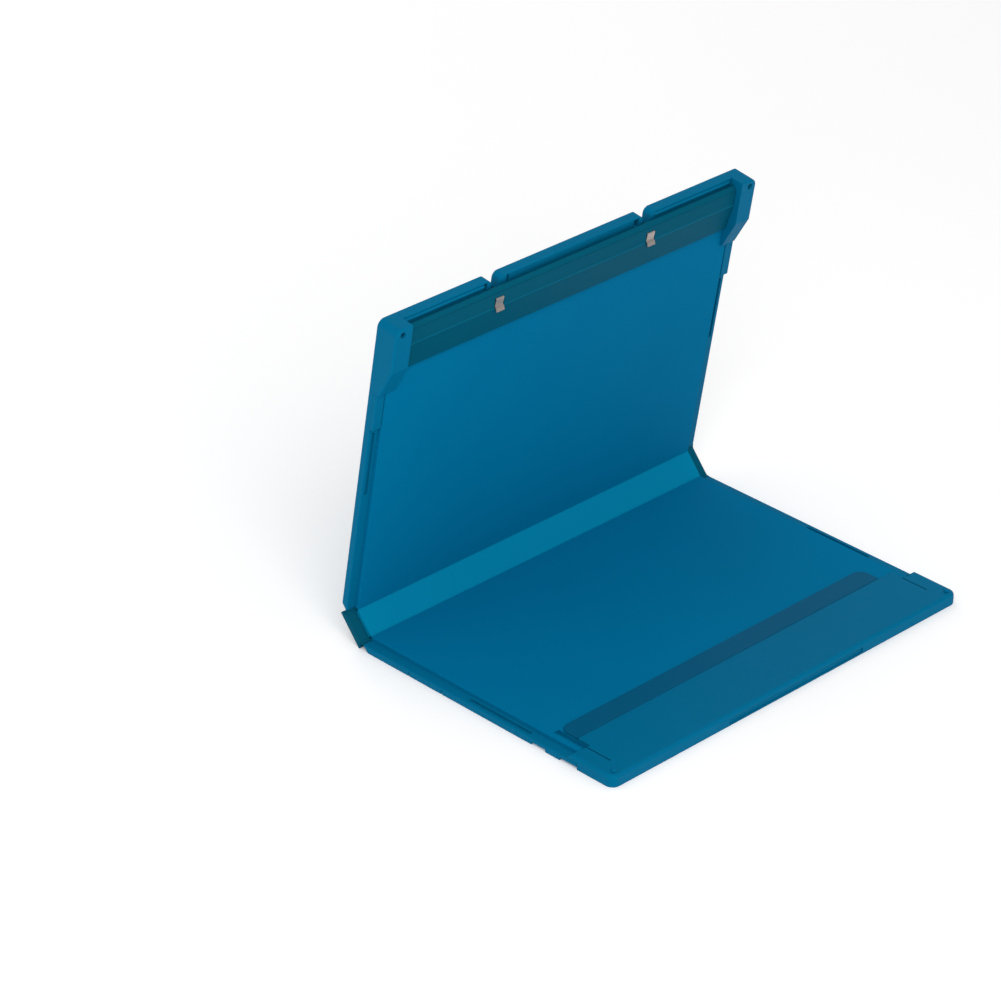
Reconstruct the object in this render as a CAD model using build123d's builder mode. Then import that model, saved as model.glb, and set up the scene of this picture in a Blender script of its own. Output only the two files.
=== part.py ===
"""Folding A4 clip file: a base leaf and a cover leaf joined by a narrow spine.

Each leaf is an outer tray with a board on top.  The boards and the spine strip are one sheet with
two moulded creases, so the leaves fold about lines in their inner faces.  The cover carries a
sprung clip bar along its free edge, and the base a retainer flap that keeps the sheets down.

Frame: +X along the spine, +Z up, the base leaf lying on z = 0 with its spine edge towards +Y.
Origin: centre of the base leaf's underside.  Units are millimetres.
The cover stands at the two rest angles below.
"""
import os
from math import asin, cos, radians, sin

from build123d import *

os.makedirs("parts", exist_ok=True)

# --- Overall sizes -------------------------------------------------------------------------
leaf_width = 328.0  # both leaves, along X
leaf_depth = 224.0  # crease line to free edge
leaf_thick = 7.0  # outer face to board face
rim_width = 8.0  # tray beyond the board at each side
board_thick = 2.6
spine_reach = 19.0  # crease line to crease line
spine_rest = 49.0  # degrees, spine above the desk
cover_rest = 98.5  # degrees, cover above the desk, measured from the same side

# --- Walls and clearances ------------------------------------------------------------------
skin = 1.6  # outer skin of the trays
rib = 1.6
seat = 0.1  # between pieces that are fixed together
cut = 1.0  # how far a cut runs past a face
crease_half = 0.3  # board edge to crease line
crease_web = 0.6  # thickness left in the crease
tray_back = 0.95  # tray edge behind the crease line, at the rim's top
spine_gap = 0.75  # between the mitred edges when the file lies flat
spine_bar_thick = 4.3
spine_edge_radius = 0.6
film_thick = 0.35  # of the film that closes each fold, at the back
tray_margin = 8.0  # solid border round the ribbed area
rim_radius = 0.7
board_radius = 0.4

half_width = leaf_width / 2
board_width = leaf_width - 2 * rim_width
half_board = board_width / 2
rim_top = leaf_thick - board_thick
rim_middle = half_width - rim_width / 2

# --- Base leaf: "inset" is a distance from the free edge, "start" and "end" from the crease line ---
head_top = leaf_thick + 1.3
head_start = leaf_depth - 35.6
head_lip_start = head_start - 10.5
head_foot = head_start - 4.4  # where the corner ramps leave the rim
head_ledge = 0.6  # of the ramps, at the top
head_skirt_start = head_start + 5.0
head_joint = 0.5  # tray side to the skirt
head_wall = 2.2
head_front_wall = 3.6
head_skin = 1.9
head_ribs = 7
corner_radius = 6.0
nose_radius = 2.6
ramp_clear = 0.3  # board's side to the corner ramp
base_board_end = head_start - 0.4
finger_end = head_start - 1.4
finger_width = 4.4
end_slot_width = 4.4
end_slot_outer = half_board - finger_width
end_slot_inner = end_slot_outer - end_slot_width
slit_width = 1.1
slit_end = leaf_depth - 15.0
thumb_span = (-69.0, 58.0)  # off centre, towards +X
thumb_depth = 1.0
thumb_low = 0.9
thumb_height = 5.0
skirt_notches = ((head_start - 34.8, head_start - 22.6), (head_start - 10.1, head_start + 4.9))
skirt_notch_depth = 3.0
skirt_notch_height = 1.8
side_nicks = (43.7, 73.5)
nick_depth = 0.5
nick_width = 1.2
stud_radius = 1.7
stud_height = 1.8
stud_stem = 1.2
stud_chamfer = 0.5
stud_x = half_width - 6.0
stud_inset = 5.0

# --- Retainer flap -------------------------------------------------------------------------
flap_left = half_board - 9.0
flap_right = flap_left - 8.5  # short of the board's slot, which is on the left only
flap_gap = 0.4  # flap edge to its fold line
flap_line = head_lip_start - flap_gap
flap_start = flap_line - 16.5
flap_rise = 0.1  # above the board
flap_corner = 7.5
flap_chamfer = 0.25
flap_web = 0.4
end_slot_start = flap_start

# --- Rim slots -----------------------------------------------------------------------------
slot_width = 2.6
slot_depth = 1.5
base_slot = (95.0, 150.0)
cover_slot_inset = (84.0, 132.0)

# --- Clip bar's pivot: heights are above the outer face ---------------------------------------
pin_radius = 1.5
pin_clear = 0.05
pin_in_cap = 9.0
pin_in_bar = 8.0
barrel_wall = 0.9
barrel_radius = pin_radius + barrel_wall
barrel_clear = 0.2  # barrel to the board's face
pivot = (7.5, leaf_thick + barrel_clear + barrel_radius)  # inset, height

# --- Cover leaf ----------------------------------------------------------------------------
cap_width = 14.0
cap_height = leaf_thick + 10.0
cap_flat = 31.5  # free edge to the start of the slope
cap_length = 53.0
cap_low = leaf_thick + 1.5
cap_wall = 2.2
cap_inner_wall = 2.0
cap_roof = 2.2
cap_lining = 1.2  # between the hollows and the slope
cap_corner = 5.0
cap_edge_radius = 1.3
hub_wall = 1.5
stud_hole_clear = 0.4
stud_hole_extra = 1.0
pad_length = 27.0
pad_gap = 0.9
pad_radius = 0.6
wall_thick = 7.4  # free edge to the board's edge
wall_height = leaf_thick
wall_radius = 0.9
wall_end_radius = 4.0
recess_inset = 1.0
recess_low = leaf_thick - 0.7
bead_inset = 3.3  # rounded bead along the recess, on the two outer tabs
tab_bead_radius = 1.6
bead_top = leaf_thick + 0.5
notch_x = 69.0
notch_width = 7.2
notch_depth = 10.0
tab_blocks = {"left": (2.5, 3.4), "middle": (6.4, 3.4), "right": (3.9, 0.0)}  # ends of the recess
tab_slots = {"left": (0.0, 2.8), "middle": (2.6, 4.0), "right": (0.0, 0.0)}  # beside the blocks
tab_slot_inset = 1.4
tab_slot_low = 2.4
bead_end_gap = 1.4
tongue = (14.0, 6.0, 1.6)  # along X, into the tray, thickness
tongue_low = 2.0
tongue_shares = (0.22, 0.78)  # along each stretch of the wall
cap_inner = half_width - cap_width

# --- Clip springs --------------------------------------------------------------------------
spring_width = 7.0
spring_thick = 0.7
spring_foot_end = 24.0
spring_rise = 11.2
spring_elbow = leaf_thick + 2.4
spring_crest = (17.4, leaf_thick + 6.6)
spring_lip_end = 22.2
spring_bend = 0.8
spring_clear = 0.3
rivet_inset = 20.0
rivet_radius = 2.0
rivet_thick = 0.9
rivet_hole = 1.0

# --- Clip bar: its section is given as (distance from the free edge, height above outer face)
bar_thick = 2.1
jaw_gap = 0.3  # bar's edge to the board, with no paper in it
bar_shoulder = (7.0, pivot[1] + barrel_radius + 0.55)
bar_top = (4.6, bar_shoulder[1] - 2.3)
bar_ridge = (18.0, bar_shoulder[1] + 0.45)
bar_grip = (38.6, leaf_thick + jaw_gap + bar_thick)
bar_tip_radius = 0.5
bar_end_clear = 0.4
bead_radius = 0.45
line_inset = 7.2  # fine line along the bar's shoulder
line_width = 0.6
line_depth = 0.2
strip_span = (31.5, 37.0)
strip_low = leaf_thick + 0.05
strip_inlay = 0.6
window_side = 0.7  # spring to the window's side
window_width = spring_width + 2 * window_side
window_span = (spring_rise - spring_thick / 2 - 0.05, bar_ridge[0] + 0.4)
bar_half = cap_inner - bar_end_clear

# --- Frames: local x along the spine, local y away from the crease, local z from the outer face
a, b = radians(spine_rest), radians(cover_rest)
base_hinge = Vector(0, leaf_depth / 2, leaf_thick)
spine_out = Vector(0, cos(a), sin(a))
spine_up = Vector(0, -sin(a), cos(a))
cover_hinge = base_hinge + spine_out * spine_reach
cover_out = Vector(0, cos(b), sin(b))
cover_up = Vector(0, -sin(b), cos(b))
base = Plane(origin=(0, leaf_depth / 2, 0), x_dir=(-1, 0, 0), z_dir=(0, 0, 1))
spine = Plane(origin=base_hinge - spine_up * leaf_thick, x_dir=(1, 0, 0), z_dir=spine_up)
cover = Plane(origin=cover_hinge - cover_up * leaf_thick, x_dir=(1, 0, 0), z_dir=cover_up)

# how far the closed cover dips so that its end caps come down on the base's corners
close_gap = 0.25
close_room = spine_reach - (cap_height - leaf_thick) - (head_top - leaf_thick) - close_gap
close_dip = asin(close_room / leaf_depth)
stud_reach = leaf_depth - stud_inset
hole_reach = (stud_reach + (cap_height - leaf_thick) * sin(close_dip)) / cos(close_dip)


def section(leaf, x):
    """Plane across a leaf at local x: its own x is the distance out, its y the height."""
    return Plane(origin=leaf.from_local_coords((x, 0, 0)), x_dir=leaf.y_dir, z_dir=leaf.x_dir)


def pick(shapes, leaf, test):
    """The faces or edges whose centre, in the leaf's own x, y, z, passes the test."""
    return [s for s in shapes if test(leaf.to_local_coords(s.center()))]


def near(value, target, slack=0.05):
    return abs(value - target) < slack


def span_rect(low, high):
    """Rectangle between two corners, inside the current sketch."""
    with Locations(((low[0] + high[0]) / 2, (low[1] + high[1]) / 2)):
        Rectangle(high[0] - low[0], high[1] - low[1])


def fillet_if(edges, radius):
    if edges:
        fillet(edges, radius)


def mitred_plate(leaf, end):
    """Tray blank, mitred at 45 degrees along the crease."""
    with BuildSketch(section(leaf, -half_width)) as side_view:
        with BuildLine():
            Polyline(
                (tray_back + rim_top, 0),
                (end, 0),
                (end, rim_top),
                (tray_back, rim_top),
                close=True,
            )
        make_face()
    extrude(side_view.sketch, amount=leaf_width)


def ribbed_cells(leaf, end, columns=8, rows=5):
    """Cut the cells between the ribs, open towards the board."""
    start = tray_back + rim_top + tray_margin / 2
    wide = 2 * (end_slot_inner - tray_margin)
    deep = end - start
    cell_x = (wide - (columns - 1) * rib) / columns
    cell_y = (deep - (rows - 1) * rib) / rows
    with BuildSketch(leaf.offset(skin)) as cells:
        with Locations((0, start + deep / 2)):
            with GridLocations(cell_x + rib, cell_y + rib, columns, rows):
                Rectangle(cell_x, cell_y)
    extrude(cells.sketch, amount=rim_top, mode=Mode.SUBTRACT)


def rim_slots(leaf, span):
    with BuildSketch(leaf.offset(rim_top)) as slots:
        with Locations(*((side * rim_middle, sum(span) / 2) for side in (-1, 1))):
            SlotOverall(span[1] - span[0], slot_width, rotation=90)
    extrude(slots.sketch, amount=-slot_depth, mode=Mode.SUBTRACT)


def tabs():
    """The three stretches of the cover's free-edge wall, as (name, low x, high x)."""
    side = notch_width / 2
    return (
        ("left", -cap_inner + seat, -notch_x - side),
        ("middle", -notch_x + side, notch_x - side),
        ("right", notch_x + side, cap_inner - seat),
    )


def tongue_places():
    """Centres along X of the tongues that hold the wall to the tray."""
    places = []
    for _, low, high in tabs():
        for share in tongue_shares:
            places.append(low + (high - low) * share)
    return places


# --- Base tray -----------------------------------------------------------------------------
with BuildPart() as base_tray:
    mitred_plate(base, leaf_depth - head_front_wall - seat)
    with BuildSketch(base):  # room for the front head's skirt
        for side in (-1, 1):
            inner = half_width - head_wall - seat
            low, high = sorted((side * inner, side * (half_width + cut)))
            span_rect((low, head_skirt_start - head_joint), (high, leaf_depth))
    extrude(amount=rim_top, mode=Mode.SUBTRACT)
    ribbed_cells(base, head_start - tray_margin)
    rim_slots(base, base_slot)
    with BuildSketch(base):
        for side in (-1, 1):
            low, high = sorted((side * (half_width - skirt_notch_depth), side * (half_width + cut)))
            for start, end in skirt_notches:
                span_rect((low, start), (high, end))
    extrude(amount=skirt_notch_height, mode=Mode.SUBTRACT)
    with BuildSketch(base):
        with Locations(*((side * half_width, y) for side in (-1, 1) for y in side_nicks)):
            Rectangle(2 * nick_depth, nick_width)
    extrude(amount=rim_top - nick_width, mode=Mode.SUBTRACT)
    rim_edges = pick(
        base_tray.edges().filter_by(Axis.Y),
        base,
        lambda c: near(abs(c.X), half_width) and near(c.Z, rim_top),
    )
    fillet_if(rim_edges, rim_radius)
base_tray.part.label = "base_tray"
export_step(base_tray.part, "parts/base_tray.step")

# --- Base board ----------------------------------------------------------------------------
finger_middle = (end_slot_outer + half_board) / 2
with BuildPart() as base_board:
    with BuildSketch(base.offset(rim_top)):
        span_rect((-half_board, crease_half), (half_board, end_slot_start))
        span_rect((-end_slot_outer, crease_half), (end_slot_inner, base_board_end))
        finger = finger_width / 2
        span_rect((-half_board, end_slot_start - cut), (-end_slot_outer + cut, finger_end))
        span_rect((end_slot_outer, end_slot_start - cut), (half_board, finger_end - finger))
        with Locations((finger_middle, finger_end - finger)):
            Circle(finger)
    extrude(amount=board_thick)
    side_edges = pick(
        base_board.edges().filter_by(Axis.Y),
        base,
        lambda c: near(abs(c.X), half_board) and near(c.Z, leaf_thick),
    )
    fillet_if(side_edges, board_radius)
base_board.part.label = "base_board"
export_step(base_board.part, "parts/base_board.step")

# --- Base front head: the raised, rounded nose with its two corners --------------------------
with BuildPart() as base_front_head:
    with BuildSketch(base):
        span_rect((-half_width, head_skirt_start), (half_width, leaf_depth))
    extrude(amount=head_top)
    with BuildSketch(base.offset(rim_top + seat)):
        span_rect((-half_width, head_start), (half_width, head_skirt_start))
    extrude(amount=head_top - rim_top - seat)
    upright = pick(
        base_front_head.edges().filter_by(Axis.Z),
        base,
        lambda c: near(abs(c.X), half_width) and near(c.Y, leaf_depth),
    )
    fillet(upright, corner_radius)
    for side in (-1, 1):  # ramps beside the board
        edge = side * (half_board + ramp_clear)
        with BuildSketch(section(base, edge)):
            with BuildLine():
                Polyline(
                    (head_foot, rim_top + seat),
                    (head_start, rim_top + seat),
                    (head_start, head_top),
                    (head_start - head_ledge, head_top),
                    close=True,
                )
            make_face()
        extrude(amount=side * (rim_width - ramp_clear))
    top_rim = pick(
        base_front_head.edges(),
        base,
        lambda c: near(c.Z, head_top)
        and (c.Y > leaf_depth - nose_radius or abs(c.X) > half_width - nose_radius),
    )
    fillet(top_rim, nose_radius)
    with BuildSketch(base.offset(leaf_thick + seat)):  # lip over the board's end
        span_rect((-end_slot_outer, head_lip_start), (end_slot_inner, head_start + cut))
    extrude(amount=head_top - leaf_thick - seat)
    with BuildSketch(base.offset(-cut)):  # hollow inside, open below and behind
        low_x = -half_width + head_wall
        span_rect((low_x, head_start - cut), (-low_x, leaf_depth - head_front_wall))
    extrude(amount=head_top - head_skin + cut, mode=Mode.SUBTRACT)
    with BuildSketch(base.offset(rim_top + seat)):
        for k in range(head_ribs):  # ribs that carry the nose on the tray
            x = (2 * k + 1 - head_ribs) * end_slot_inner / head_ribs
            span_rect((x - rib / 2, head_start), (x + rib / 2, leaf_depth - head_front_wall))
    extrude(amount=head_top - rim_top - head_skin)
    with BuildSketch(base.offset(rim_top)):
        for side in (-1, 1):
            x = side * (end_slot_outer - end_slot_width / 4)
            span_rect((x - slit_width / 2, head_start - cut), (x + slit_width / 2, slit_end))
        with Locations(*((side * stud_x, stud_reach) for side in (-1, 1))):
            Circle(stud_stem)
    extrude(amount=head_top, mode=Mode.SUBTRACT)
    with BuildSketch(base.offset(thumb_low)):
        span_rect((thumb_span[0], leaf_depth - thumb_depth), (thumb_span[1], leaf_depth + cut))
    extrude(amount=thumb_height - thumb_low, mode=Mode.SUBTRACT)
base_front_head.part.label = "base_front_head"
export_step(base_front_head.part, "parts/base_front_head.step")

# --- Closure studs: they catch in the holes of the cover's end caps ----------------------------
for name, side in (("left", 1), ("right", -1)):
    with BuildPart() as closure_stud:
        with BuildSketch(base.offset(head_top)):
            with Locations((side * stud_x, stud_reach)):
                Circle(stud_radius)
        extrude(amount=stud_height)
        chamfer(closure_stud.faces().sort_by(Axis.Z)[-1].edges(), stud_chamfer)
        with BuildSketch(base.offset(head_top - head_skin)):
            with Locations((side * stud_x, stud_reach)):
                Circle(stud_stem)
        extrude(amount=head_skin)
    closure_stud.part.label = f"closure_stud_{name}"
    export_step(closure_stud.part, f"parts/closure_stud_{name}.step")

# --- Retainer flap and its thin fold ------------------------------------------------------------
with BuildPart() as retainer_flap:
    with BuildSketch(base.offset(leaf_thick + flap_rise)) as flap_plan:
        span_rect((-flap_right, flap_start), (flap_left, flap_line - flap_gap))
        rear = flap_plan.vertices().filter_by(lambda v: near(v.Y, flap_start))
        fillet(rear, flap_corner)
    extrude(amount=head_top - leaf_thick - flap_rise)
    top = retainer_flap.faces().sort_by(Axis.Z)[-1]
    chamfer(top.edges(), flap_chamfer)
retainer_flap.part.label = "retainer_flap"
export_step(retainer_flap.part, "parts/retainer_flap.step")

with BuildPart() as flap_crease:
    with BuildSketch(base.offset(head_top - flap_web - flap_chamfer)):
        span_rect((cut - flap_right, flap_line - flap_gap), (flap_left - cut, head_lip_start))
    extrude(amount=flap_web)
flap_crease.part.label = "flap_crease"
export_step(flap_crease.part, "parts/flap_crease.step")

# --- Spine: an outer bar with mitred edges, and the strip between the creases --------------------
spine_low = rim_top - spine_bar_thick
with BuildPart() as spine_bar:
    edge = tray_back - spine_gap
    drop = rim_top - spine_low
    with BuildSketch(section(spine, -half_width)):
        with BuildLine():
            Polyline(
                (-edge, rim_top),
                (-edge - drop, spine_low),
                (spine_reach + edge + drop, spine_low),
                (spine_reach + edge, rim_top),
                close=True,
            )
        make_face()
    extrude(amount=leaf_width)
    lower = pick(spine_bar.edges().filter_by(Axis.X), spine, lambda c: near(c.Z, spine_low))
    fillet(lower, spine_edge_radius)
spine_bar.part.label = "spine_bar"
export_step(spine_bar.part, "parts/spine_bar.step")

with BuildPart() as spine_board:
    with BuildSketch(spine.offset(rim_top)):
        span_rect((-half_board, crease_half), (half_board, spine_reach - crease_half))
    extrude(amount=board_thick)
spine_board.part.label = "spine_board"
export_step(spine_board.part, "parts/spine_board.step")

# --- Creases: the thin webs that join the strip to the two boards --------------------------------
out_of_base = Vector(0, -1, 0)
up_of_base = Vector(0, 0, 1)
webs = (
    ("base_crease", base_hinge, out_of_base, up_of_base, spine_out),
    ("cover_crease", cover_hinge, cover_out, cover_up, -spine_out),
)
for name, hinge, leaf_out, leaf_up, strip_out in webs:
    outside = (leaf_up + spine_up).normalized() * -crease_web
    points = (
        leaf_out * crease_half,
        Vector(0, 0, 0),
        strip_out * crease_half,
        strip_out * crease_half - spine_up * crease_web,
        outside,
        leaf_out * crease_half - leaf_up * crease_web,
    )
    with BuildPart() as crease:
        with BuildSketch(Plane(origin=hinge, x_dir=(0, 1, 0), z_dir=(1, 0, 0))):
            with BuildLine():
                Polyline(*((p.Y, p.Z) for p in points), close=True)
            make_face()
        extrude(amount=half_board, both=True)
    crease.part.label = name
    export_step(crease.part, f"parts/{name}.step")

# --- Hinge films: they close each fold across the whole width, between the mitred edges ------------
below_axis = leaf_thick - rim_top
films = (
    ("base_hinge_film", base_hinge, out_of_base, up_of_base, spine_out),
    ("cover_hinge_film", cover_hinge, cover_out, cover_up, -spine_out),
)
for name, hinge, leaf_out, leaf_up, strip_out in films:
    leaf_inner = leaf_out * tray_back - leaf_up * below_axis
    leaf_outer = leaf_inner + (leaf_out - leaf_up) * film_thick
    strip_inner = -strip_out * (tray_back - spine_gap) - spine_up * below_axis
    strip_outer = strip_inner - (strip_out + spine_up) * film_thick
    middle = (leaf_inner + strip_inner).normalized()
    inner_middle = middle * (leaf_inner.length + strip_inner.length) / 2
    outer_middle = middle * (leaf_outer.length + strip_outer.length) / 2
    with BuildPart() as film:
        with BuildSketch(Plane(origin=hinge, x_dir=(0, 1, 0), z_dir=(1, 0, 0))):
            with BuildLine():
                ThreePointArc(*((p.Y, p.Z) for p in (leaf_inner, inner_middle, strip_inner)))
                Line((strip_inner.Y, strip_inner.Z), (strip_outer.Y, strip_outer.Z))
                ThreePointArc(*((p.Y, p.Z) for p in (strip_outer, outer_middle, leaf_outer)))
                Line((leaf_outer.Y, leaf_outer.Z), (leaf_inner.Y, leaf_inner.Z))
            make_face()
        extrude(amount=half_width, both=True)
    film.part.label = name
    export_step(film.part, f"parts/{name}.step")

# --- Cover tray ------------------------------------------------------------------------------
free = leaf_depth
with BuildPart() as cover_tray:
    mitred_plate(cover, free - cap_wall - seat)
    with BuildSketch(cover):  # room for the end caps' skirts, the wall and its two notches
        for side in (-1, 1):
            inner = half_width - cap_wall - seat
            low, high = sorted((side * inner, side * (half_width + cut)))
            span_rect((low, free - cap_length - seat), (high, free))
            x = side * notch_x
            span_rect((x - notch_width / 2, free - notch_depth), (x + notch_width / 2, free))
        span_rect((-cap_inner, free - wall_thick - seat), (cap_inner, free))
    extrude(amount=rim_top, mode=Mode.SUBTRACT)
    ribbed_cells(cover, free - spring_foot_end - tray_margin / 2)
    with BuildSketch(cover.offset(skin)):  # channels for the springs' feet
        for side in (-1, 1):
            x = side * notch_x
            half = spring_width / 2 + seat
            low_y = free - spring_foot_end - spring_thick - seat
            span_rect((x - half, low_y), (x + half, free - notch_depth + cut))
    extrude(amount=rim_top, mode=Mode.SUBTRACT)
    with BuildSketch(cover):  # holes through which the springs' rivets are set
        with Locations(*((side * notch_x, free - rivet_inset) for side in (-1, 1))):
            Circle(rivet_hole)
    extrude(amount=skin, mode=Mode.SUBTRACT)
    rim_slots(cover, tuple(sorted(free - inset for inset in cover_slot_inset)))
    with BuildSketch(cover.offset(tongue_low - seat)):
        for x in tongue_places():
            half = tongue[0] / 2 + seat
            span_rect((x - half, free - wall_thick - tongue[1] - seat), (x + half, free))
    extrude(amount=tongue[2] + 2 * seat, mode=Mode.SUBTRACT)
    rim_edges = pick(
        cover_tray.edges(),
        cover,
        lambda c: near(abs(c.X), half_width) and near(c.Z, rim_top) and c.Y > leaf_thick,
    )
    fillet_if(rim_edges, rim_radius)
cover_tray.part.label = "cover_tray"
export_step(cover_tray.part, "parts/cover_tray.step")

# --- Cover board -------------------------------------------------------------------------------
with BuildPart() as cover_board:
    with BuildSketch(cover.offset(rim_top)):
        span_rect((-half_board, crease_half), (half_board, free - cap_length - seat))
        edge = cap_inner - seat
        span_rect((-edge, crease_half), (edge, free - wall_thick - seat))
    extrude(amount=board_thick)
    with BuildSketch(cover.offset(rim_top)):
        for side in (-1, 1):
            x = side * notch_x
            span_rect((x - notch_width / 2, free - notch_depth), (x + notch_width / 2, free))
            half = spring_width / 2 + spring_clear
            slot_end = free - spring_rise - spring_thick - spring_clear
            span_rect((x - half, slot_end), (x + half, free - notch_depth + cut))
    extrude(amount=board_thick, mode=Mode.SUBTRACT)
    side_edges = pick(
        cover_board.edges(),
        cover,
        lambda c: near(abs(c.X), half_board) and near(c.Z, leaf_thick),
    )
    fillet_if(side_edges, board_radius)
cover_board.part.label = "cover_board"
export_step(cover_board.part, "parts/cover_board.step")

# --- End caps: they wrap the cover's two free corners and hold the clip bar's pins ---------------
for name, side in (("left", -1), ("right", 1)):
    with BuildPart() as end_cap:
        with BuildSketch(section(cover, side * cap_inner)):
            with BuildLine():
                Polyline(
                    (free, 0),
                    (free, cap_height),
                    (free - cap_flat, cap_height),
                    (free - cap_length, cap_low),
                    (free - cap_length, 0),
                    close=True,
                )
            make_face()
        extrude(amount=side * cap_width)
        corner = pick(
            end_cap.edges(),
            cover,
            lambda c: near(abs(c.X), half_width) and near(c.Y, free),
        )
        fillet(corner, cap_corner)
        outer_rim = pick(
            end_cap.edges(),
            cover,
            lambda c: c.Z > cap_low + cut / 2
            and (abs(c.X) > half_width - cap_wall or near(c.Y, free)),
        )
        fillet(outer_rim, cap_edge_radius)
        with BuildSketch(cover.offset(-cut)):
            low, high = sorted((side * (cap_inner + cap_inner_wall), side * (half_width - cap_wall)))
            span_rect((low, free - cap_length + cap_wall), (high, free - cap_wall))
        extrude(amount=cap_low - cap_lining, mode=Mode.SUBTRACT)
        with BuildSketch(cover.offset(cap_low - cap_lining - cut)):
            span_rect((low, free - cap_flat + cap_wall), (high, free - cap_wall))
        extrude(amount=cap_height - cap_roof - cap_low + cap_lining + cut, mode=Mode.SUBTRACT)
        with BuildSketch(cover):  # the tray passes under the inner and rear walls
            low, high = sorted((side * (cap_inner - cut), side * (half_width - cap_wall)))
            span_rect((low, free - cap_length - cut), (high, free - cap_wall))
        extrude(amount=rim_top + seat, mode=Mode.SUBTRACT)
        hub = section(cover, side * cap_inner)
        with BuildSketch(hub):
            with Locations((free - pivot[0], pivot[1])):
                Circle(pin_radius + hub_wall)
        extrude(amount=side * (pin_in_cap + cap_lining))
        with BuildSketch(hub):
            with Locations((free - pivot[0], pivot[1])):
                Circle(pin_radius)
        extrude(amount=side * pin_in_cap, mode=Mode.SUBTRACT)
        with BuildSketch(cover.offset(cap_height)):
            with Locations((side * stud_x, hole_reach)):
                Circle(stud_radius + stud_hole_clear)
        extrude(amount=-stud_height - stud_hole_extra, mode=Mode.SUBTRACT)
    end_cap.part.label = f"end_cap_{name}"
    export_step(end_cap.part, f"parts/end_cap_{name}.step")

    # side pad: carries the board's face out to the rim, next to the cap
    with BuildPart() as side_pad:
        with BuildSketch(cover.offset(rim_top)):
            low, high = sorted((side * (half_board + pad_gap), side * half_width))
            start = free - cap_length - seat
            span_rect((low, start - pad_length), (high, start))
        extrude(amount=board_thick)
        pad_edges = pick(
            side_pad.edges(),
            cover,
            lambda c: near(abs(c.X), half_width) and near(c.Z, leaf_thick),
        )
        fillet(pad_edges, pad_radius)
    side_pad.part.label = f"side_pad_{name}"
    export_step(side_pad.part, f"parts/side_pad_{name}.step")

    # pivot pin: fixed in the cap, running in the clip bar's barrel
    with BuildPart() as pivot_pin:
        with BuildSketch(section(cover, side * (cap_inner - pin_in_bar))):
            with Locations((free - pivot[0], pivot[1])):
                Circle(pin_radius)
        extrude(amount=side * (pin_in_cap + pin_in_bar))
    pivot_pin.part.label = f"pivot_pin_{name}"
    export_step(pivot_pin.part, f"parts/pivot_pin_{name}.step")

# --- Free-edge wall, in three stretches ------------------------------------------------------------
for name, low, high in tabs():
    with BuildPart() as tab_wall:
        with BuildSketch(section(cover, low)) as wall_section:
            span_rect((free - wall_thick, 0), (free, wall_height))
            shoulder = wall_section.vertices().filter_by(
                lambda v: near(v.X, free) and near(v.Y, wall_height)
            )
            fillet(shoulder, wall_radius)
        extrude(wall_section.sketch, amount=high - low)
        beside = notch_x + notch_width
        with BuildSketch(cover) as end_plan:
            span_rect((low, free - wall_thick), (high, free))
            inner_ends = end_plan.vertices().filter_by(
                lambda v: near(v.Y, free) and abs(v.X) < beside
            )
            fillet(inner_ends, wall_end_radius)
        extrude(end_plan.sketch, amount=wall_height, mode=Mode.INTERSECT)
        first = low + tab_blocks[name][0]
        last = high - tab_blocks[name][1]
        with BuildSketch(cover.offset(recess_low)) as recess:
            span_rect((first, free - wall_thick - cut), (last, free - recess_inset))
        extrude(recess.sketch, amount=wall_height, mode=Mode.SUBTRACT)
        if name != "middle":
            bead_last = last - max(tab_slots[name][1], bead_end_gap)
            with BuildSketch(section(cover, first)) as bead_section:
                with Locations((free - bead_inset, bead_top - tab_bead_radius)):
                    Circle(tab_bead_radius)
            extrude(bead_section.sketch, amount=bead_last - first)
        first_wide, last_wide = tab_slots[name]
        for slot_from, slot_to in ((first, first + first_wide), (last - last_wide, last)):
            if slot_to > slot_from:
                with BuildSketch(cover.offset(tab_slot_low)) as end_slot:
                    slot_back = free - wall_thick - cut
                    span_rect((slot_from, slot_back), (slot_to, free - tab_slot_inset))
                extrude(end_slot.sketch, amount=wall_height, mode=Mode.SUBTRACT)
        with BuildSketch(cover.offset(tongue_low)) as tongues:
            for x in tongue_places():
                if low < x < high:
                    half = tongue[0] / 2
                    root = free - wall_thick
                    span_rect((x - half, root - tongue[1]), (x + half, root))
        extrude(tongues.sketch, amount=tongue[2])
    tab_wall.part.label = f"tab_wall_{name}"
    export_step(tab_wall.part, f"parts/tab_wall_{name}.step")

# --- Clip bar: one section along its whole length, with two windows for the springs ----------------
slope = (bar_ridge[1] - bar_grip[1]) / (bar_grip[0] - bar_ridge[0])


def facet_height(inset):
    """Outer surface of the bar's lower facet at a distance from the free edge."""
    return bar_ridge[1] - (inset - bar_ridge[0]) * slope


def top_height(inset):
    """Outer surface of the bar's upper facet at a distance from the free edge."""
    rise = (bar_ridge[1] - bar_shoulder[1]) / (bar_ridge[0] - bar_shoulder[0])
    return bar_shoulder[1] + (inset - bar_shoulder[0]) * rise


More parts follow.
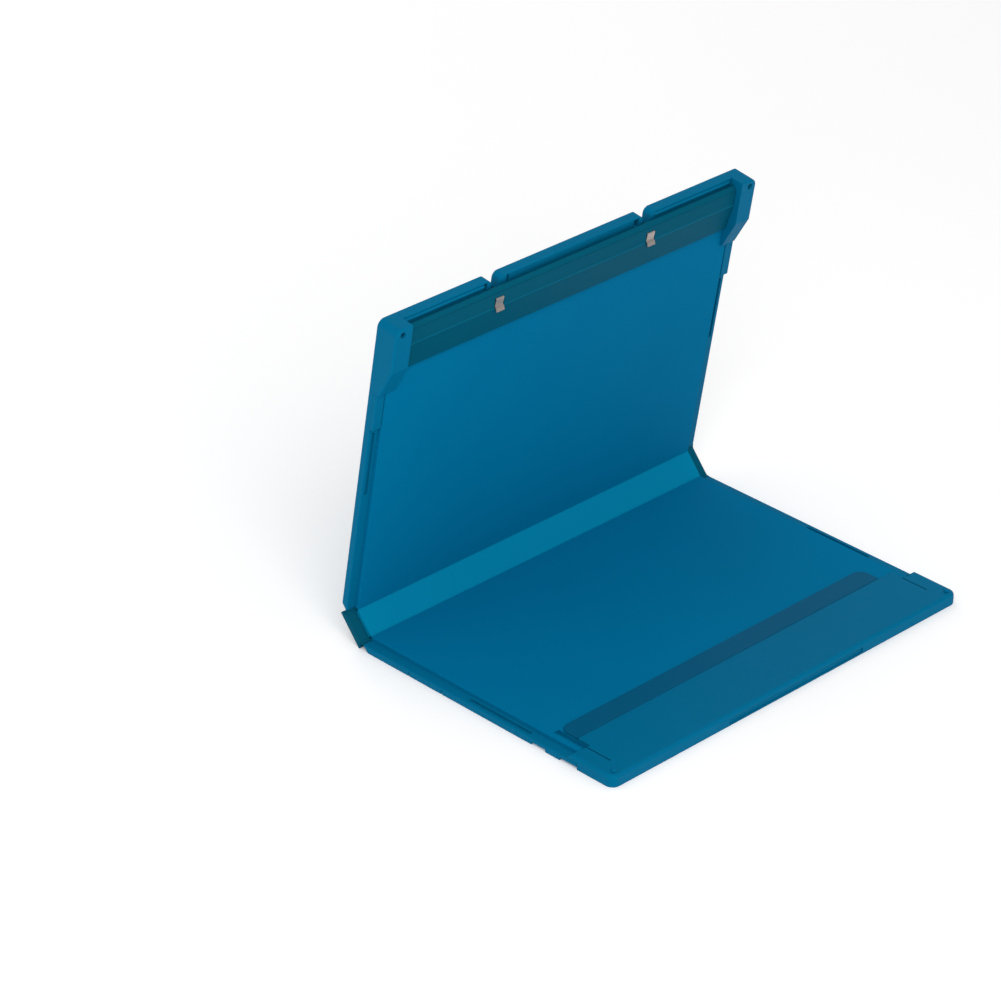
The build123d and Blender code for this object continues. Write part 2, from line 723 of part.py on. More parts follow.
with BuildPart() as clip_bar:
    with BuildSketch(section(cover, -bar_half)) as bar_section:
        with BuildLine():
            Polyline(
                (free - bar_top[0], bar_top[1]),
                (free - bar_shoulder[0], bar_shoulder[1]),
                (free - bar_ridge[0], bar_ridge[1]),
                (free - bar_grip[0], bar_grip[1]),
                (free - bar_grip[0], bar_grip[1] - bar_thick),
                (free - bar_ridge[0], bar_ridge[1] - bar_thick),
                (free - bar_shoulder[0], bar_shoulder[1] - bar_thick),
                (free - bar_top[0], bar_top[1] - bar_thick),
                close=True,
            )
        make_face()
        tips = bar_section.vertices().filter_by(
            lambda v: near(v.X, free - bar_top[0]) or near(v.X, free - bar_grip[0])
        )
        fillet(tips, bar_tip_radius)
        with Locations((free - bar_ridge[0], bar_ridge[1] - bead_radius / 2)):
            Circle(bead_radius)
        with Locations((free - pivot[0], pivot[1])):
            Circle(barrel_radius)
            Circle(pin_radius + pin_clear, mode=Mode.SUBTRACT)
        with Locations((free - line_inset, top_height(line_inset))):
            Rectangle(line_width, 2 * line_depth, mode=Mode.SUBTRACT)
        with BuildLine():
            Polyline(
                (free - strip_span[0], strip_low),
                (free - strip_span[1], strip_low),
                (free - strip_span[1], facet_height(strip_span[1]) - bar_thick + strip_inlay),
                (free - strip_span[0], facet_height(strip_span[0]) - bar_thick + strip_inlay),
                close=True,
            )
        make_face(mode=Mode.SUBTRACT)
    extrude(amount=2 * bar_half)
    with BuildSketch(cover.offset(pivot[1])):
        for side in (-1, 1):
            x = side * notch_x
            half = window_width / 2
            span_rect((x - half, free - window_span[1]), (x + half, free - window_span[0]))
    extrude(amount=cap_height, mode=Mode.SUBTRACT)
clip_bar.part.label = "clip_bar"
export_step(clip_bar.part, "parts/clip_bar.step")

# --- Grip strip: soft strip let into the bar's edge --------------------------------------------------
with BuildPart() as grip_strip:
    with BuildSketch(section(cover, -bar_half)):
        with BuildLine():
            Polyline(
                (free - strip_span[0], strip_low),
                (free - strip_span[1], strip_low),
                (free - strip_span[1], facet_height(strip_span[1]) - bar_thick + strip_inlay),
                (free - strip_span[0], facet_height(strip_span[0]) - bar_thick + strip_inlay),
                close=True,
            )
        make_face()
    extrude(amount=2 * bar_half)
grip_strip.part.label = "grip_strip"
export_step(grip_strip.part, "parts/grip_strip.step")

# --- Clip springs: steel strips held in the tray, rising through the bar's windows --------------------
half = spring_thick / 2
lip_height = facet_height(spring_lip_end) + half + pin_clear
for name, side in (("left", -1), ("right", 1)):
    with BuildPart() as clip_spring:
        with BuildSketch(section(cover, side * notch_x)):
            with BuildLine() as route:
                FilletPolyline(
                    (free - spring_foot_end, skin + half),
                    (free - spring_rise, skin + half),
                    (free - spring_rise, spring_elbow),
                    (free - spring_crest[0], spring_crest[1]),
                    (free - spring_lip_end, lip_height),
                    radius=spring_bend,
                )
                offset(amount=half, side=Side.BOTH)
            make_face()
        extrude(amount=spring_width / 2, both=True)
    clip_spring.part.label = f"clip_spring_{name}"
    export_step(clip_spring.part, f"parts/clip_spring_{name}.step")

# --- Spring rivets: one solid for each spring's foot ---------------------------------------------------
with BuildPart() as spring_rivets:
    with BuildSketch(cover.offset(skin + spring_thick)):
        with Locations(*((side * notch_x, free - rivet_inset) for side in (-1, 1))):
            Circle(rivet_radius)
    extrude(amount=rivet_thick)
spring_rivets.part.label = "spring_rivets"
export_step(spring_rivets.part, "parts/spring_rivets.step")
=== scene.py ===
"""A folding A4 clip file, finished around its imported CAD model.

Two moulded leaves hinge on a creased spine.  The cover carries a sprung clip bar along its free
edge, and the base a retainer flap.  Everything is in metres, in the CAD frame.
"""
from math import cos, pi, radians, sin

import bmesh
import bpy
from mathutils import Matrix, Vector


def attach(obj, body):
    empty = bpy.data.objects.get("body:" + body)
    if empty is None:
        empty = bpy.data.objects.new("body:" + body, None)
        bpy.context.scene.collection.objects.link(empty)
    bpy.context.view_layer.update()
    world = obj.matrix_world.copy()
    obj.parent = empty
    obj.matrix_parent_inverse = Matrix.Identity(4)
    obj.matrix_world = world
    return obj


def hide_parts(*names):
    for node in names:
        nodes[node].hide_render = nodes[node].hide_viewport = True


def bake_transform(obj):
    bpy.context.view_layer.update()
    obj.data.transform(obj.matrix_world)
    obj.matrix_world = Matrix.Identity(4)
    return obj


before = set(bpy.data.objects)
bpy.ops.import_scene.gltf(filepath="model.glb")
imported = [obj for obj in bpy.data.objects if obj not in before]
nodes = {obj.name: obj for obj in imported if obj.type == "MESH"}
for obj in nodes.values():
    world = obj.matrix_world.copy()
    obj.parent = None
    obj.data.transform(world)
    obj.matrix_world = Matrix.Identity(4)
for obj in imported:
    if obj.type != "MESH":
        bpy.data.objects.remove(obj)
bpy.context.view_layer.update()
scene = bpy.context.scene

# --- Camera, floor and light -------------------------------------------------------------------
# A long lens looks down on the open file from its front left corner.  The floor is a plain white
# sheet that glows faintly, and three large soft lamps and a bright room light the file evenly.
view_azimuth = radians(-45.38)
view_elevation = radians(29.46)
view_roll = radians(1.19)
view_distance = 2.5869
view_target = Vector((-0.15337, 0, 0.15295))
lens_length = 152.0  # millimetres
floor_size = 12.0
room_light = 0.62

back = Vector((sin(view_azimuth) * cos(view_elevation),
               -cos(view_azimuth) * cos(view_elevation), sin(view_elevation)))
level = (-back).cross(Vector((0, 0, 1))).normalized()
upright = level.cross(-back)
right = level * cos(view_roll) + upright * sin(view_roll)
above = upright * cos(view_roll) - level * sin(view_roll)
camera = bpy.data.objects.new("camera", bpy.data.cameras.new("camera"))
camera.data.lens = lens_length
camera.data.sensor_width = 36.0
camera.data.clip_end = 50.0
turn = Matrix((right, above, back)).transposed().to_4x4()
camera.matrix_world = Matrix.Translation(view_target + back * view_distance) @ turn
scene.collection.objects.link(camera)
scene.camera = camera
scene.view_settings.view_transform = "Standard"


def soft_lamp(name, place, aim, size, power, mirrored):
    """A square studio lamp that points from its place to its aim; mirrored if surfaces show it."""
    lamp = bpy.data.objects.new(name, bpy.data.lights.new(name, "AREA"))
    lamp.data.size = size
    lamp.data.energy = power
    lamp.visible_glossy = mirrored
    lamp.location = place
    lamp.rotation_euler = (Vector(aim) - Vector(place)).to_track_quat("-Z", "Y").to_euler()
    scene.collection.objects.link(lamp)


soft_lamp("key_lamp", (-0.95, -1.1, 1.35), (0, 0, 0.08), 1.1, 17.0, True)
soft_lamp("fill_lamp", (1.6, -1.6, 1.5), (0, 0, 0.08), 1.8, 1.0, False)
soft_lamp("rear_lamp", (0.6, 2.2, 1.6), (0, 0, 0.08), 1.8, 13.0, False)

room = bpy.data.worlds.new("room")
room.use_nodes = True
room.node_tree.nodes["Background"].inputs["Color"].default_value = (1.0, 1.0, 1.0, 1.0)
room.node_tree.nodes["Background"].inputs["Strength"].default_value = room_light
scene.world = room

floor_mesh = bpy.data.meshes.new("floor")
floor_shape = bmesh.new()
bmesh.ops.create_grid(floor_shape, x_segments=1, y_segments=1, size=floor_size / 2)
floor_shape.to_mesh(floor_mesh)
floor_shape.free()
floor = bpy.data.objects.new("floor", floor_mesh)
floor.location.z = -0.0002
scene.collection.objects.link(floor)
floor_paint = bpy.data.materials.new("floor_paint")
floor_paint.use_nodes = True
floor_shader = floor_paint.node_tree.nodes["Principled BSDF"]
floor_shader.inputs["Base Color"].default_value = (0.95, 0.95, 0.95, 1.0)
floor_shader.inputs["Emission Color"].default_value = (1.0, 1.0, 1.0, 1.0)
floor_shader.inputs["Emission Strength"].default_value = 0.15
floor_shader.inputs["Roughness"].default_value = 0.9
floor_shader.inputs["Specular IOR Level"].default_value = 0.1
floor_mesh.materials.append(floor_paint)

# --- Base and cover trays ------------------------------------------------------------------------
# Injection-moulded polypropylene shells with a fine spark-eroded skin, coloured right through.
# The edges that hands and desks rub turn paler and smoother.


def socket(group, name, way, kind, value=None):
    made = group.interface.new_socket(name, in_out=way, socket_type=kind)
    if value is not None:
        made.default_value = value


def node(tree, kind, **settings):
    """A new node with its attributes set, and its inputs where a key starts with in_."""
    made = tree.nodes.new(kind)
    for key, value in settings.items():
        if key.startswith("in_"):
            made.inputs[key[3:].replace("_", " ")].default_value = value
        else:
            setattr(made, key, value)
    return made


def moulded_skin():
    """Node group: the grain of a moulded surface, cloudy colour, scuffs and rubbed edges."""
    group = bpy.data.node_groups.new("moulded_skin", "ShaderNodeTree")
    socket(group, "Colour", "INPUT", "NodeSocketColor")
    socket(group, "Rubbed Colour", "INPUT", "NodeSocketColor")
    socket(group, "Grain Size", "INPUT", "NodeSocketFloat", 0.0005)
    socket(group, "Grain Depth", "INPUT", "NodeSocketFloat", 0.00002)
    socket(group, "Roughness", "INPUT", "NodeSocketFloat", 0.5)
    socket(group, "Edge Radius", "INPUT", "NodeSocketFloat", 0.0004)
    socket(group, "Rub", "INPUT", "NodeSocketFloat", 0.5)
    socket(group, "Colour", "OUTPUT", "NodeSocketColor")
    socket(group, "Roughness", "OUTPUT", "NodeSocketFloat")
    socket(group, "Normal", "OUTPUT", "NodeSocketVector")
    given = node(group, "NodeGroupInput")
    result = node(group, "NodeGroupOutput")
    link = group.links.new
    place = node(group, "ShaderNodeTexCoord")

    # grain: the etched skin of the mould
    fineness = node(group, "ShaderNodeMath", operation="DIVIDE")
    fineness.inputs[0].default_value = 1.0
    link(given.outputs["Grain Size"], fineness.inputs[1])
    grain = node(group, "ShaderNodeTexNoise", in_Detail=2.0, in_Roughness=0.6)
    link(place.outputs["Object"], grain.inputs["Vector"])
    link(fineness.outputs[0], grain.inputs["Scale"])
    soft_edge = node(group, "ShaderNodeBevel", samples=4)
    link(given.outputs["Edge Radius"], soft_edge.inputs["Radius"])
    relief = node(group, "ShaderNodeBump", in_Strength=1.0)
    link(grain.outputs["Fac"], relief.inputs["Height"])
    link(given.outputs["Grain Depth"], relief.inputs["Distance"])
    link(soft_edge.outputs["Normal"], relief.inputs["Normal"])
    link(relief.outputs["Normal"], result.inputs["Normal"])

    # rubbed edges: where the softened normal leaves the true one, broken up by noise
    true_face = node(group, "ShaderNodeNewGeometry")
    agree = node(group, "ShaderNodeVectorMath", operation="DOT_PRODUCT")
    link(soft_edge.outputs["Normal"], agree.inputs[0])
    link(true_face.outputs["Normal"], agree.inputs[1])
    edge = node(group, "ShaderNodeMapRange", clamp=True)
    edge.inputs["From Min"].default_value = 0.995
    edge.inputs["From Max"].default_value = 0.86
    link(agree.outputs["Value"], edge.inputs["Value"])
    patches = node(group, "ShaderNodeTexNoise", in_Scale=90.0, in_Detail=5.0, in_Roughness=0.7)
    link(place.outputs["Object"], patches.inputs["Vector"])
    worn = node(group, "ShaderNodeMapRange", clamp=True)
    worn.inputs["From Min"].default_value = 0.4
    worn.inputs["From Max"].default_value = 0.75
    link(patches.outputs["Fac"], worn.inputs["Value"])
    rubbed = node(group, "ShaderNodeMath", operation="MULTIPLY")
    link(edge.outputs["Result"], rubbed.inputs[0])
    link(worn.outputs["Result"], rubbed.inputs[1])
    rub = node(group, "ShaderNodeMath", operation="MULTIPLY")
    link(rubbed.outputs[0], rub.inputs[0])
    link(given.outputs["Rub"], rub.inputs[1])

    # cloud: the slow change of shade that flow leaves in a large moulding
    cloud = node(group, "ShaderNodeTexNoise", in_Scale=7.0, in_Detail=3.0, in_Roughness=0.5)
    link(place.outputs["Object"], cloud.inputs["Vector"])
    shade = node(group, "ShaderNodeMapRange")
    shade.inputs["To Min"].default_value = 0.94
    shade.inputs["To Max"].default_value = 1.06
    link(cloud.outputs["Fac"], shade.inputs["Value"])
    tone = node(group, "ShaderNodeVectorMath", operation="SCALE")
    link(given.outputs["Colour"], tone.inputs[0])
    link(shade.outputs["Result"], tone.inputs["Scale"])
    paint = node(group, "ShaderNodeMix", data_type="RGBA")
    link(rub.outputs[0], paint.inputs["Factor"])
    link(tone.outputs["Vector"], paint.inputs["A"])
    link(given.outputs["Rubbed Colour"], paint.inputs["B"])
    link(paint.outputs["Result"], result.inputs["Colour"])

    # scuffs: short fine scratches that shine a little more than the skin round them
    stretch = node(group, "ShaderNodeMapping")
    stretch.inputs["Rotation"].default_value = (0.2, 0.1, 0.7)
    stretch.inputs["Scale"].default_value = (1.0, 14.0, 6.0)
    link(place.outputs["Object"], stretch.inputs["Vector"])
    scratch = node(group, "ShaderNodeTexNoise", in_Scale=60.0, in_Detail=4.0, in_Roughness=0.75)
    link(stretch.outputs["Vector"], scratch.inputs["Vector"])
    shine = node(group, "ShaderNodeMapRange", clamp=True)
    shine.inputs["From Min"].default_value = 0.35
    shine.inputs["From Max"].default_value = 0.8
    shine.inputs["To Min"].default_value = 0.05
    shine.inputs["To Max"].default_value = -0.1
    link(scratch.outputs["Fac"], shine.inputs["Value"])
    rough = node(group, "ShaderNodeMath", operation="ADD", use_clamp=True)
    link(given.outputs["Roughness"], rough.inputs[0])
    link(shine.outputs["Result"], rough.inputs[1])
    smoother = node(group, "ShaderNodeMath", operation="MULTIPLY_ADD", use_clamp=True)
    smoother.inputs[1].default_value = -0.15
    link(rub.outputs[0], smoother.inputs[0])
    link(rough.outputs[0], smoother.inputs[2])
    link(smoother.outputs[0], result.inputs["Roughness"])
    return group


skin = moulded_skin()


def moulded_plastic(name, colour, rubbed, roughness, grain, depth, edge, rub, gloss):
    """Polypropylene with the moulded skin; gloss is the shader's specular level."""
    material = bpy.data.materials.new(name)
    material.use_nodes = True
    tree = material.node_tree
    shader = tree.nodes["Principled BSDF"]
    shader.inputs["Specular IOR Level"].default_value = gloss
    shader.inputs["Specular Tint"].default_value = (0.15, 0.75, 1.0, 1.0)
    surface = node(tree, "ShaderNodeGroup", node_tree=skin)
    surface.inputs["Colour"].default_value = (*colour, 1.0)
    surface.inputs["Rubbed Colour"].default_value = (*rubbed, 1.0)
    surface.inputs["Grain Size"].default_value = grain
    surface.inputs["Grain Depth"].default_value = depth
    surface.inputs["Roughness"].default_value = roughness
    surface.inputs["Edge Radius"].default_value = edge
    surface.inputs["Rub"].default_value = rub
    tree.links.new(surface.outputs["Colour"], shader.inputs["Base Color"])
    tree.links.new(surface.outputs["Roughness"], shader.inputs["Roughness"])
    tree.links.new(surface.outputs["Normal"], shader.inputs["Normal"])
    return material


def finish_nodes(names, material):
    """Gives CAD nodes their material."""
    for name in names:
        mesh = nodes[name].data
        mesh.materials.clear()
        mesh.materials.append(material)


tray_colour = (0.0004, 0.136, 0.268)
tray_rubbed = (0.008, 0.19, 0.33)
tray_plastic = moulded_plastic("tray_plastic", tray_colour, tray_rubbed, roughness=0.5,
                               grain=0.0006, depth=0.00003, edge=0.0005, rub=0.5, gloss=0.035)
finish_nodes(("base_tray", "cover_tray", "base_front_head", "end_cap_left", "end_cap_right",
              "side_pad_left", "side_pad_right", "tab_wall_left", "tab_wall_middle",
              "tab_wall_right"), tray_plastic)

# --- Boards --------------------------------------------------------------------------------------
# The writing faces: calendered sheet, smoother than the trays, with a very fine haze.
board_colour = (0.0003, 0.155, 0.314)
board_rubbed = (0.01, 0.19, 0.39)
board_plastic = moulded_plastic("board_plastic", board_colour, board_rubbed, roughness=0.55,
                                grain=0.0004, depth=0.000012, edge=0.0003, rub=0.25, gloss=0.008)
finish_nodes(("base_board", "cover_board"), board_plastic)

# --- Spine ---------------------------------------------------------------------------------------
# The strip between the leaves and the bar behind it.  The two creases and the films behind them
# are thin curved bands, each drawn from the leaf at one edge to the strip at the other.
leaf_depth, leaf_thick, leaf_half, board_half = 0.224, 0.007, 0.164, 0.156
spine_angle, cover_angle, strip_width = radians(49.0), radians(98.5), 0.019
spine_out = Vector((0, cos(spine_angle), sin(spine_angle)))
spine_up = Vector((0, -spine_out.z, spine_out.y))
cover_out = Vector((0, cos(cover_angle), sin(cover_angle)))
cover_up = Vector((0, -cover_out.z, cover_out.y))
base_out, base_up = Vector((0, -1, 0)), Vector((0, 0, 1))
base_hinge = Vector((0, leaf_depth / 2, leaf_thick))
cover_hinge = base_hinge + spine_out * strip_width
crease_reach, crease_web = 0.0003, 0.0006
tray_back, bar_back, below_axis, film_thick = 0.00095, 0.0002, 0.0026, 0.00035

# painted highlight: the spine strip and the creases use a lighter copy of the boards' blue, standing
# in for the light on the tilted strip
spine_lit_colour = (0.0003, 0.208, 0.372)
bar_colour, bar_rubbed = (0.0015, 0.086, 0.145), (0.008, 0.13, 0.19)
spine_plastic = moulded_plastic("spine_plastic", spine_lit_colour, board_rubbed, roughness=0.55,
                                grain=0.0004, depth=0.000012, edge=0.0003, rub=0.25, gloss=0.03)
bar_plastic = moulded_plastic("bar_plastic", bar_colour, bar_rubbed, roughness=0.42,
                              grain=0.0005, depth=0.00001, edge=0.0003, rub=0.5, gloss=0.012)
finish_nodes(("spine_board",), spine_plastic)
finish_nodes(("spine_bar",), bar_plastic)


def bend_points(first, turn, last, steps=10):
    """Points along the smooth curve from first to last that leans towards turn."""
    shares = [k / steps for k in range(steps + 1)]
    return [first * (1 - t) ** 2 + turn * (2 * t * (1 - t)) + last * t * t for t in shares]


def prism(name, outline, low, high, material, bevel=0.0):
    """A closed outline of points, drawn out along X from low to high."""
    shape = bmesh.new()
    ends = [[shape.verts.new((x, p.y, p.z)) for p in outline] for x in (low, high)]
    count = len(outline)
    for k in range(count):
        after = (k + 1) % count
        shape.faces.new((ends[0][k], ends[0][after], ends[1][after], ends[1][k]))
    caps = [shape.faces.new(ends[0]), shape.faces.new(ends[1])]
    if bevel:
        rims = [edge for cap in caps for edge in cap.edges]
        bmesh.ops.bevel(shape, geom=rims, offset=bevel, segments=2, profile=0.5, affect="EDGES")
    bmesh.ops.recalc_face_normals(shape, faces=shape.faces)
    mesh = bpy.data.meshes.new(name)
    shape.to_mesh(mesh)
    shape.free()
    for face in mesh.polygons:
        face.use_smooth = True
    mesh.set_sharp_from_angle(angle=radians(35))
    mesh.materials.append(material)
    piece = bpy.data.objects.new(name, mesh)
    scene.collection.objects.link(piece)
    return piece


for fold, hinge, leaf, leaf_out, leaf_up, strip_out in (
        ("base", base_hinge, "base", base_out, base_up, spine_out),
        ("cover", cover_hinge, "cover", cover_out, cover_up, -spine_out)):
    # crease: the web at the bottom of the fold's groove
    face = bend_points(leaf_out * crease_reach, Vector((0, 0, 0)), strip_out * crease_reach)
    turn = (leaf_up + spine_up).normalized() * -crease_web
    rear = bend_points(leaf_out * crease_reach - leaf_up * crease_web, turn,
                       strip_out * crease_reach - spine_up * crease_web)
    crease = prism(fold + "_crease_band", [hinge + p for p in face + rear[::-1]],
                   -board_half, board_half, spine_plastic)
    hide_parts(fold + "_crease")
    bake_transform(crease)
    # film: from the tray's edge to the spine bar's edge
    leaf_edge = leaf_out * tray_back - leaf_up * below_axis
    strip_edge = -strip_out * bar_back - spine_up * below_axis
    skins = []
    for deep in (0.0, film_thick):
        first = leaf_edge + (leaf_out - leaf_up) * deep
        last = strip_edge - (strip_out + spine_up) * deep
        middle = (first + last) / 2
        reach = (first.length + last.length) / 2
        skins.append(bend_points(first, middle.normalized() * (2 * reach - middle.length), last))
    film = prism(fold + "_film_band", [hinge + p for p in skins[0] + skins[1][::-1]],
                 -leaf_half, leaf_half, bar_plastic)
    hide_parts(fold + "_hinge_film")
    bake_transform(film)

# --- Retainer flap ---------------------------------------------------------------------------------
# A thin strip of tougher, darker film that folds up from the front head on a thinner line.
flap_colour, flap_rubbed = (0.002, 0.092, 0.188), (0.01, 0.14, 0.25)
flap_plastic = moulded_plastic("flap_plastic", flap_colour, flap_rubbed, roughness=0.45,
                               grain=0.0005, depth=0.00001, edge=0.0002, rub=0.3, gloss=0.04)
finish_nodes(("retainer_flap",), flap_plastic)
fold_top, fold_web, fold_sag = 0.00805, 0.0004, 0.00012
fold_front, fold_rear, fold_left, fold_right = -0.0659, -0.0651, -0.146, 0.1375
head_side, flap_side = Vector((0, fold_front, fold_top)), Vector((0, fold_rear, fold_top))
lowered = Vector((0, 0, -fold_sag))
upper = bend_points(head_side, (head_side + flap_side) / 2 + lowered, flap_side)
lower = [p - Vector((0, 0, fold_web)) for p in upper]
flap_band = prism("flap_crease_band", upper + lower[::-1], fold_left, fold_right, flap_plastic)
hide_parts("flap_crease")
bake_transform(flap_band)

# --- Closure studs -----------------------------------------------------------------------------------
# Small turned buttons with a domed head and a waist, which snap into the holes of the end caps.
stud_profile = ((1.2, -1.9), (1.2, -0.05), (1.5, 0.0), (1.6, 0.3), (1.7, 0.7), (1.66, 1.05),
                (1.5, 1.35), (1.2, 1.58), (0.8, 1.73), (0.4, 1.79), (0.0, 1.8))
stud_aside, stud_front, stud_seat, stud_steps = 0.158, -0.107, 0.0083, 40
for side_name, side in (("left", -1), ("right", 1)):
    stud_shape = bmesh.new()
    line = [stud_shape.verts.new((radius * 0.001, 0, height * 0.001))
            for radius, height in stud_profile]
    rims = [stud_shape.edges.new(pair) for pair in zip(line, line[1:])]
    bmesh.ops.spin(stud_shape, geom=line + rims, cent=(0, 0, 0), axis=(0, 0, 1), angle=2 * pi,
                   steps=stud_steps, use_merge=True)
    bmesh.ops.remove_doubles(stud_shape, verts=stud_shape.verts, dist=0.00001)
    open_rim = [edge for edge in stud_shape.edges if edge.is_boundary]
    bmesh.ops.contextual_create(stud_shape, geom=open_rim)
    bmesh.ops.translate(stud_shape, verts=stud_shape.verts,
                        vec=(side * stud_aside, stud_front, stud_seat))
    bmesh.ops.recalc_face_normals(stud_shape, faces=stud_shape.faces)
    stud_mesh = bpy.data.meshes.new("stud_" + side_name)
    stud_shape.to_mesh(stud_mesh)
    stud_shape.free()
    for face in stud_mesh.polygons:
        face.use_smooth = True
    stud_mesh.set_sharp_from_angle(angle=radians(50))
    stud_mesh.materials.append(tray_plastic)
    stud = bpy.data.objects.new("stud_" + side_name, stud_mesh)
    scene.collection.objects.link(stud)
    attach(stud, "base")
    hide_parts("closure_stud_" + side_name)

# --- Clip bar ------------------------------------------------------------------------------------
# One extruded profile.  The die leaves fine lines along its length.  Along the fold between its two
# facets the colour is painted paler: a painted highlight where the light catches the ridge.
ridge_inset, ridge_rise = 0.018, 0.006
# painted highlight on the ridge: the width of its full core, the width where it fades out, and how
# much paler it is
highlight_core, highlight_edge, highlight_paleness = 0.0003, 0.0005, 1.5
profile_plastic = bar_plastic.copy()
profile_plastic.name = "profile_plastic"
profile = profile_plastic.node_tree
profile_shader = profile.nodes["Principled BSDF"]
profile_skin = next(n for n in profile.nodes if n.type == "GROUP")
profile_place = node(profile, "ShaderNodeTexCoord")
along = node(profile, "ShaderNodeMapping")
along.inputs["Scale"].default_value = (2.0, 900.0, 900.0)
profile.links.new(profile_place.outputs["Object"], along.inputs["Vector"])
die_lines = node(profile, "ShaderNodeTexNoise", in_Scale=1.0, in_Detail=3.0, in_Roughness=0.6)
profile.links.new(along.outputs["Vector"], die_lines.inputs["Vector"])
die_shade = node(profile, "ShaderNodeMapRange")
die_shade.inputs["To Min"].default_value = 0.94
die_shade.inputs["To Max"].default_value = 1.07
profile.links.new(die_lines.outputs["Fac"], die_shade.inputs["Value"])
distance = node(profile, "ShaderNodeVectorMath", operation="DOT_PRODUCT")
distance.inputs[1].default_value = cover_out
profile.links.new(profile_place.outputs["Object"], distance.inputs[0])
ridge_top = cover_hinge + cover_out * (leaf_depth - ridge_inset) + cover_up * ridge_rise
ridge_place = ridge_top.dot(cover_out)
from_ridge = node(profile, "ShaderNodeMath", operation="SUBTRACT")
from_ridge.inputs[1].default_value = ridge_place
profile.links.new(distance.outputs["Value"], from_ridge.inputs[0])
off_ridge = node(profile, "ShaderNodeMath", operation="ABSOLUTE")
profile.links.new(from_ridge.outputs[0], off_ridge.inputs[0])
# painted highlight: the base colour is raised up to half again along a thin line on the ridge
painted_ridge_highlight = node(profile, "ShaderNodeMapRange", clamp=True)
painted_ridge_highlight.inputs["From Min"].default_value = highlight_edge
painted_ridge_highlight.inputs["From Max"].default_value = highlight_core
painted_ridge_highlight.inputs["To Min"].default_value = 1.0
painted_ridge_highlight.inputs["To Max"].default_value = highlight_paleness
profile.links.new(off_ridge.outputs[0], painted_ridge_highlight.inputs["Value"])
die_shade_with_highlight = node(profile, "ShaderNodeMath", operation="MULTIPLY")
profile.links.new(die_shade.outputs["Result"], die_shade_with_highlight.inputs[0])
profile.links.new(painted_ridge_highlight.outputs["Result"], die_shade_with_highlight.inputs[1])
profile_tone = node(profile, "ShaderNodeVectorMath", operation="SCALE")
profile.links.new(profile_skin.outputs["Colour"], profile_tone.inputs[0])
profile.links.new(die_shade_with_highlight.outputs[0], profile_tone.inputs["Scale"])
profile.links.new(profile_tone.outputs["Vector"], profile_shader.inputs["Base Color"])
finish_nodes(("clip_bar",), profile_plastic)

# --- Grip strip ----------------------------------------------------------------------------------
# Soft rubber let into the underside of the bar's edge, moulded with fine teeth that hold the paper.
grip_colour, grip_rubbed = (0.012, 0.02, 0.025), (0.05, 0.06, 0.065)
grip_rubber = moulded_plastic("grip_rubber", grip_colour, grip_rubbed, roughness=0.75,
                              grain=0.0003, depth=0.00002, edge=0.0002, rub=0.4, gloss=0.3)
grip_teeth = 5
grip_first, grip_last, grip_low, grip_notch = 31.5, 37.0, 7.05, 7.5
grip_top_first, grip_top_last, grip_half_length = 9.14, 8.18, 0.1496
notch_gap, crest_start, crest_end = 0.05, 0.35, 0.65


def on_cover(inset, height, x=0.0):
    """A point on the cover, in millimetres from its free edge and above its outer face."""
    out = cover_out * (leaf_depth - inset * 0.001)
    return cover_hinge + out + cover_up * (height * 0.001 - leaf_thick) + Vector((x, 0, 0))


pitch = (grip_last - grip_first) / grip_teeth
grip_outline = [on_cover(grip_last, grip_top_last), on_cover(grip_first, grip_top_first)]
for tooth in range(grip_teeth):
    edge = grip_first + tooth * pitch
    grip_outline.append(on_cover(edge + notch_gap, grip_notch))
    grip_outline.append(on_cover(edge + pitch * crest_start, grip_low))
    grip_outline.append(on_cover(edge + pitch * crest_end, grip_low))
    grip_outline.append(on_cover(edge + pitch - notch_gap, grip_notch))
grip = prism("ribbed_grip", grip_outline, -grip_half_length, grip_half_length, grip_rubber)
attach(grip, "clip")
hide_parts("grip_strip")
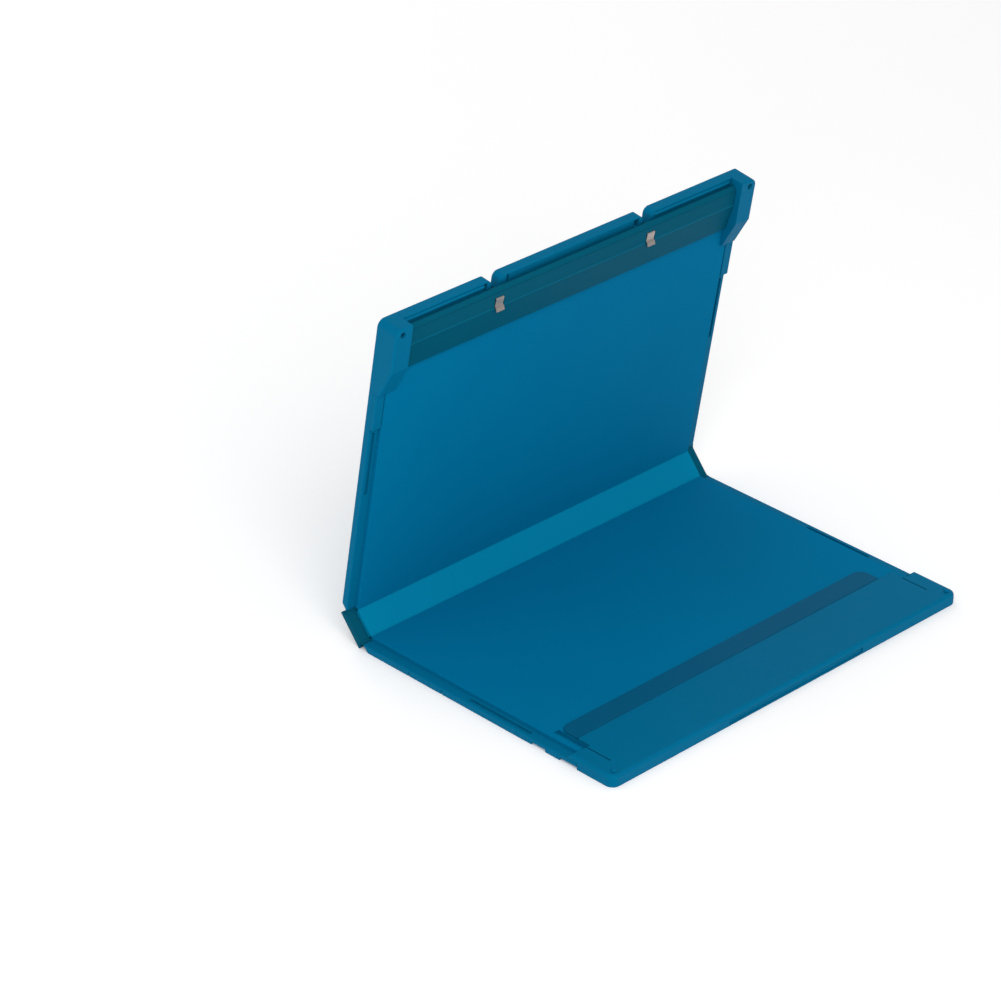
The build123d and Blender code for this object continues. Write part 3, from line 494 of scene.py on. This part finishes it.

# --- Clip springs, rivets and pins ----------------------------------------------------------------
# Cold-rolled strip: a warm grey with faint rolling lines, bent up through the bar's windows, with
# its tip turned up over the ridge.


def rolled_steel(name, colour, roughness, stretch):
    """Bright metal with rolling lines drawn out along one direction."""
    material = bpy.data.materials.new(name)
    material.use_nodes = True
    tree = material.node_tree
    shader = tree.nodes["Principled BSDF"]
    shader.inputs["Metallic"].default_value = 1.0
    place = node(tree, "ShaderNodeTexCoord")
    drawn = node(tree, "ShaderNodeMapping")
    drawn.inputs["Scale"].default_value = stretch
    tree.links.new(place.outputs["Object"], drawn.inputs["Vector"])
    lines = node(tree, "ShaderNodeTexNoise", in_Scale=1.0, in_Detail=4.0, in_Roughness=0.65)
    tree.links.new(drawn.outputs["Vector"], lines.inputs["Vector"])
    shade = node(tree, "ShaderNodeMapRange")
    shade.inputs["To Min"].default_value = 0.8
    shade.inputs["To Max"].default_value = 1.12
    tree.links.new(lines.outputs["Fac"], shade.inputs["Value"])
    tone = node(tree, "ShaderNodeVectorMath", operation="SCALE")
    tone.inputs[0].default_value = colour
    tree.links.new(shade.outputs["Result"], tone.inputs["Scale"])
    tree.links.new(tone.outputs["Vector"], shader.inputs["Base Color"])
    rough = node(tree, "ShaderNodeMapRange")
    rough.inputs["To Min"].default_value = roughness + 0.08
    rough.inputs["To Max"].default_value = roughness - 0.08
    tree.links.new(lines.outputs["Fac"], rough.inputs["Value"])
    tree.links.new(rough.outputs["Result"], shader.inputs["Roughness"])
    return material


spring_steel = rolled_steel("spring_steel", (0.40, 0.355, 0.335), 0.36, (2500.0, 60.0, 60.0))
pin_steel = rolled_steel("pin_steel", (0.5, 0.5, 0.5), 0.3, (40.0, 1500.0, 1500.0))
finish_nodes(("spring_rivets", "pivot_pin_left", "pivot_pin_right"), pin_steel)

spring_points = ((24.0, 1.95), (11.3, 1.95), (11.3, 12.85), (17.3, 12.3), (18.0, 13.55),
                 (20.4, 14.75))
spring_bend, spring_half_thick, spring_half_width = 0.6, 0.35, 0.0035
spring_aside, spring_edge, bend_steps = 0.069, 0.00015, 6
route = [Vector((*spring_points[0], 0))]
for before, corner, after in zip(spring_points, spring_points[1:], spring_points[2:]):
    corner = Vector((*corner, 0))
    into = (Vector((*before, 0)) - corner).normalized() * spring_bend
    out_of = (Vector((*after, 0)) - corner).normalized() * spring_bend
    route += bend_points(corner + into, corner, corner + out_of, bend_steps)
route.append(Vector((*spring_points[-1], 0)))
left_side, right_side = [], []
for k, point in enumerate(route):
    way = (route[min(k + 1, len(route) - 1)] - route[max(k - 1, 0)]).normalized()
    across = Vector((-way.y, way.x, 0)) * spring_half_thick
    left_side.append(on_cover((point + across).x, (point + across).y))
    right_side.append(on_cover((point - across).x, (point - across).y))
for side_name, side in (("left", -1), ("right", 1)):
    middle = side * spring_aside
    spring = prism("spring_" + side_name, left_side + right_side[::-1], middle - spring_half_width,
                   middle + spring_half_width, spring_steel, spring_edge)
    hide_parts("clip_spring_" + side_name)
    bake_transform(spring)
